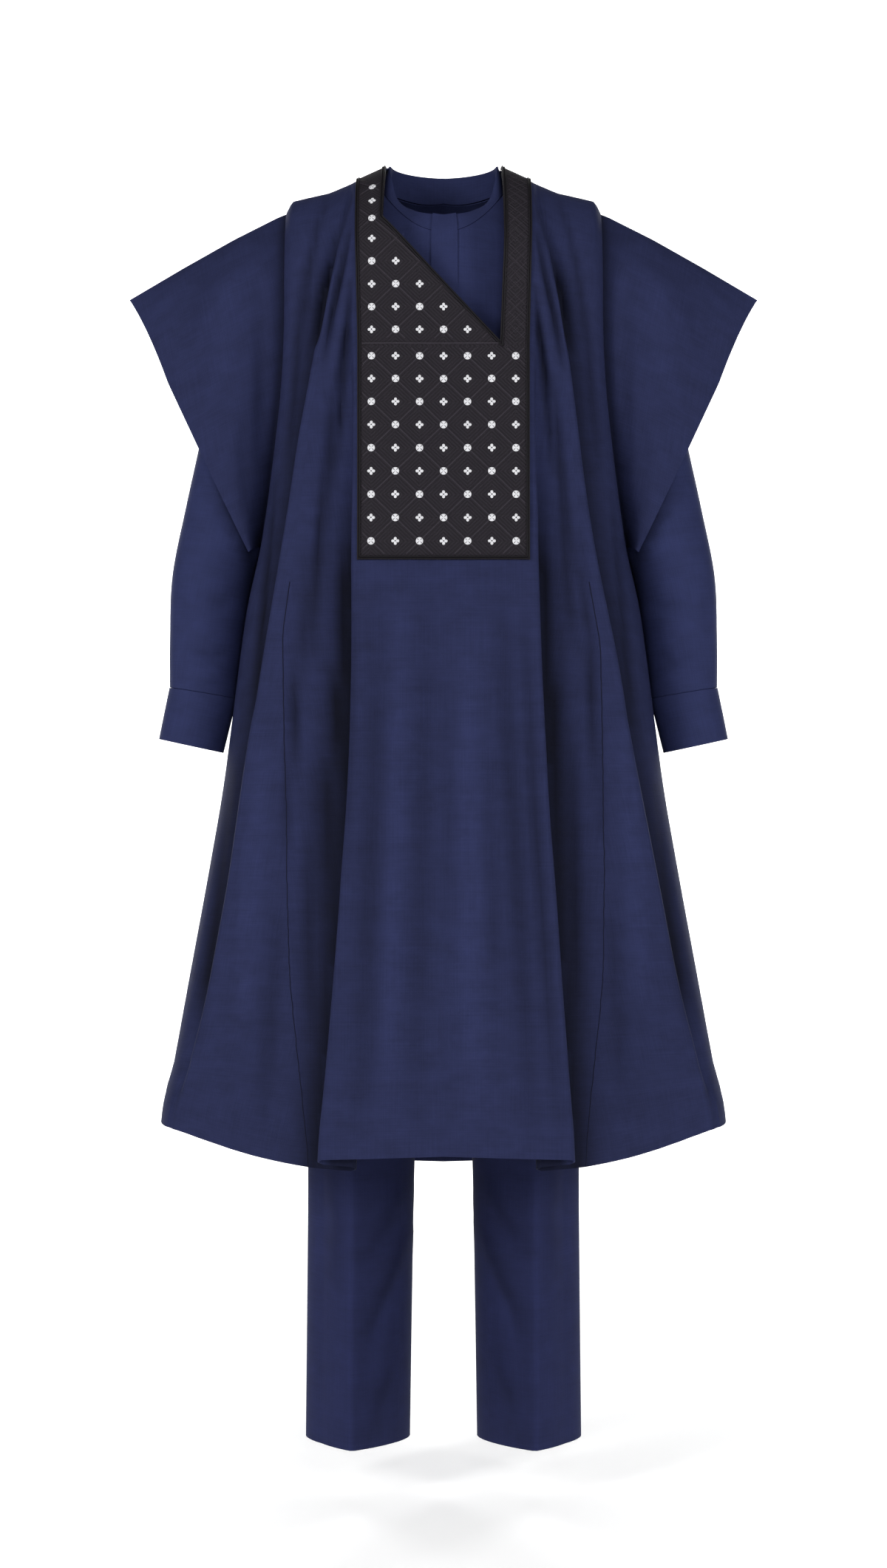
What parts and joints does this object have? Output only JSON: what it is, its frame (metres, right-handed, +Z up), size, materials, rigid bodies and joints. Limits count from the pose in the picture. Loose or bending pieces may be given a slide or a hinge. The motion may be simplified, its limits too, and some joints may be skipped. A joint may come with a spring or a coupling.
{
  "type": "agbada robe, shirt and trousers set",
  "caption": "Wide open-sleeved robe with a dark studded neck panel over a long-sleeved collarless shirt and straight trousers, in matching cloth, in its hollow worn form.",
  "frame": {"origin": "middle of the neck opening at the height where the robe lies on the shoulders, on the plane of the shoulder ridge", "axes": "+Z up, the front faces -Y, +X to the wearer's left, which is the viewer's right"},
  "size_m": [0.718, 0.3801, 1.459],
  "materials": {
    "robe_cloth": "matt navy suiting with a faint slub",
    "shirt_cloth": "matt navy suiting with a faint slub",
    "trouser_cloth": "matt navy suiting, pressed",
    "yoke_cloth": "near-black closely stitched panel",
    "yoke_cord": "near-black satin-stitched cord"
  },
  "bodies": {
    "root": {"robe_front": "robe_cloth", "robe_back": "robe_cloth", "robe_side_front_left": "robe_cloth", "robe_side_front_right": "robe_cloth", "robe_side_back_left": "robe_cloth", "robe_side_back_right": "robe_cloth", "robe_sleeve_left": "robe_cloth", "robe_sleeve_right": "robe_cloth", "shirt_front": "shirt_cloth", "shirt_back": "shirt_cloth", "shirt_collar": "shirt_cloth", "shirt_placket": "shirt_cloth", "shirt_sleeve_left": "shirt_cloth", "shirt_sleeve_right": "shirt_cloth", "shirt_cuff_left": "shirt_cloth", "shirt_cuff_right": "shirt_cloth", "robe_yoke": "yoke_cloth", "robe_back_neck_band": "yoke_cloth", "robe_yoke_outer_cord": "yoke_cord", "robe_yoke_neck_cord": "yoke_cord", "trouser_leg_left": "trouser_cloth", "trouser_leg_right": "trouser_cloth", "trouser_waistband": "trouser_cloth"}
  },
  "joints": []
}
